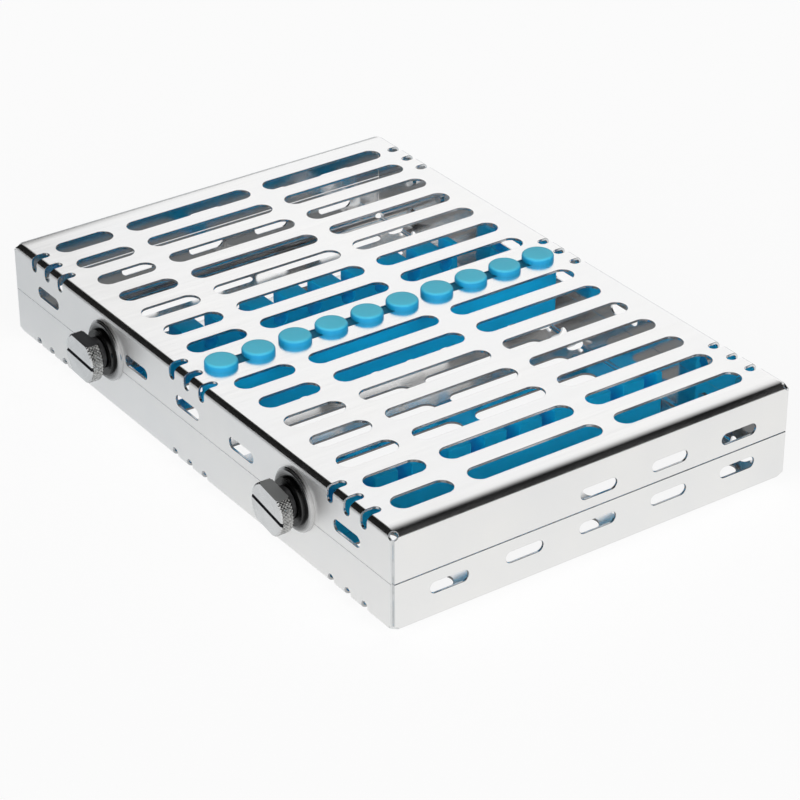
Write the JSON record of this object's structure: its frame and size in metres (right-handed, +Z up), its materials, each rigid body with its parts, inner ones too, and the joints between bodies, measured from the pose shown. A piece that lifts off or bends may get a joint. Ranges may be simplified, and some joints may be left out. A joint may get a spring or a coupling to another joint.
{
  "type": "dental instrument cassette",
  "caption": "Slotted, hinged steel cassette with silicone rails that hold dental instruments apart for washing and sterilising, shut by turning latches.",
  "frame": {"origin": "on the surface that the cassette stands on, at the middle of its whole outline, knobs and hinges included", "axes": "+X along the cassette, +Y from the latch wall to the hinge wall, +Z up through the lid"},
  "size_m": [0.207, 0.1532, 0.0353],
  "materials": {
    "polished_sheet": "mirror-polished stainless sheet",
    "silicone": "satin blue silicone",
    "latch_steel": "turned stainless steel",
    "hinge_steel": "satin stainless steel",
    "spring_steel": "bright spring steel"
  },
  "bodies": {
    "base": {"base_shell": "polished_sheet", "base_rail_left": "silicone", "base_rail_right": "silicone", "hinge_rivets_base": "hinge_steel", "hinge_leaf_base_left": "hinge_steel", "hinge_leaf_base_right": "hinge_steel", "hinge_pin_left": "hinge_steel", "hinge_pin_right": "hinge_steel", "latch_catch_left": "latch_steel", "latch_catch_right": "latch_steel"},
    "lid": {"lid_shell": "polished_sheet", "lid_rail": "silicone", "hinge_rivets_lid": "hinge_steel", "hinge_leaf_lid_left": "hinge_steel", "hinge_leaf_lid_right": "hinge_steel", "latch_bush_left": "latch_steel", "latch_bush_right": "latch_steel", "latch_nut_left": "latch_steel", "latch_nut_right": "latch_steel", "latch_spring_left": "spring_steel", "latch_spring_right": "spring_steel"},
    "latch_left": {"latch_knob_left": "latch_steel", "latch_cam_left": "latch_steel", "latch_screw_left": "latch_steel"},
    "latch_right": {"latch_knob_right": "latch_steel", "latch_cam_right": "latch_steel", "latch_screw_right": "latch_steel"}
  },
  "joints": [
    {"name": "lid_hinge", "type": "hinge", "parent": "base", "child": "lid", "pos_m": [0, 0.0746, 0.01765], "axis": [-1, 0, 0], "range_deg": [0, 180]},
    {"name": "latch_left_turn", "type": "hinge", "parent": "lid", "child": "latch_left", "pos_m": [-0.046, -0.0668, 0.0212], "axis": [0, 1, 0], "range_deg": [-3, 87]},
    {"name": "latch_right_turn", "type": "hinge", "parent": "lid", "child": "latch_right", "pos_m": [0.0572, -0.0668, 0.0212], "axis": [0, 1, 0], "range_deg": [-10, 80]}
  ]
}
